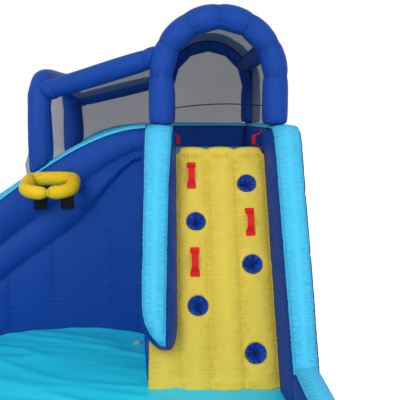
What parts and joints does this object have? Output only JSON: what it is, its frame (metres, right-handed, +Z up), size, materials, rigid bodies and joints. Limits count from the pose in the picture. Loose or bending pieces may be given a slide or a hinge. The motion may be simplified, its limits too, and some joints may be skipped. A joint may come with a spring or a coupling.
{
  "type": "inflatable water park",
  "caption": "Inflatable water park: a padded climbing wall and a netted platform under air-filled arches, with a curved slide round to a splash pool.",
  "frame": {"origin": "middle of the footprint on the ground, under the park", "axes": "+Z up; +Y from the pool's front edge to the platform's back; +X towards the climbing lane's side"},
  "size_m": [4.2384, 3.782, 2.4907],
  "materials": {
    "royal_blue_fabric": "coated woven nylon, royal blue, satin",
    "sky_blue_fabric": "coated woven nylon, light blue, satin",
    "yellow_fabric": "coated woven nylon, yellow, satin",
    "bright_yellow_fabric": "coated woven nylon, bright yellow, satin",
    "red_webbing": "woven webbing, red, matte",
    "black_webbing": "woven webbing and tape, black, matte",
    "grey_mesh": "open knitted net, grey, see-through",
    "grey_plastic": "moulded, matte grey",
    "zip_metal": "nickel-plated zip slider"
  },
  "bodies": {
    "park": {"anchor_front_left": "black_webbing", "anchor_front_right": "black_webbing", "anchor_rear_left": "black_webbing", "anchor_rear_right": "black_webbing", "arch_tie_cord": "black_webbing", "blower_sleeve": "royal_blue_fabric", "climb_block": "royal_blue_fabric", "climbing_arch": "royal_blue_fabric", "climbing_handle_1": "red_webbing", "climbing_handle_2": "red_webbing", "climbing_handle_3": "red_webbing", "climbing_wall": "yellow_fabric", "deflation_zip_tape": "black_webbing", "drain_flange": "grey_plastic", "entry_handle_left": "red_webbing", "entry_handle_right": "red_webbing", "entry_post": "royal_blue_fabric", "foot_pocket_1": "royal_blue_fabric", "foot_pocket_2": "royal_blue_fabric", "foot_pocket_3": "royal_blue_fabric", "foot_pocket_4": "royal_blue_fabric", "foot_pocket_5": "royal_blue_fabric", "front_pool_wall": "royal_blue_fabric", "front_rail": "royal_blue_fabric", "front_slide_net": "grey_mesh", "ground_sheet": "royal_blue_fabric", "hoop_ring": "bright_yellow_fabric", "hoop_strap_left": "black_webbing", "hoop_strap_right": "black_webbing", "left_bumper": "royal_blue_fabric", "left_bumper_crown": "sky_blue_fabric", "left_pool_wall": "royal_blue_fabric", "parapet_crown": "sky_blue_fabric", "platform_floor": "sky_blue_fabric", "pool_floor": "sky_blue_fabric", "pool_wall_crown": "sky_blue_fabric", "rear_arch": "royal_blue_fabric", "rear_net": "grey_mesh", "rear_parapet": "royal_blue_fabric", "rear_rail": "royal_blue_fabric", "rear_slide_net": "grey_mesh", "right_bumper": "royal_blue_fabric", "right_bumper_crown": "sky_blue_fabric", "right_parapet": "royal_blue_fabric", "right_pool_wall": "royal_blue_fabric", "right_side_net": "grey_mesh", "roof_net_binding": "black_webbing", "shoulder_link": "royal_blue_fabric", "side_net_binding": "black_webbing", "slide_arch": "royal_blue_fabric", "slide_bed": "sky_blue_fabric", "slide_inner_crown": "sky_blue_fabric", "slide_inner_wall": "royal_blue_fabric", "slide_outer_crown": "sky_blue_fabric", "slide_outer_wall": "royal_blue_fabric", "slide_roof_net": "grey_mesh", "tower_base": "royal_blue_fabric", "tower_roof_net": "grey_mesh"},
    "zip_slider": {"zip_slider": "zip_metal"},
    "drain_plug": {"drain_plug": "grey_plastic"}
  },
  "joints": [
    {"name": "zip_slide", "type": "slide", "parent": "park", "child": "zip_slider", "axis": [0, 0, 1], "range_m": [0, 0.45]},
    {"name": "plug_lift", "type": "slide", "parent": "park", "child": "drain_plug", "axis": [0, 0, 1], "range_m": [0, 0.06]}
  ]
}
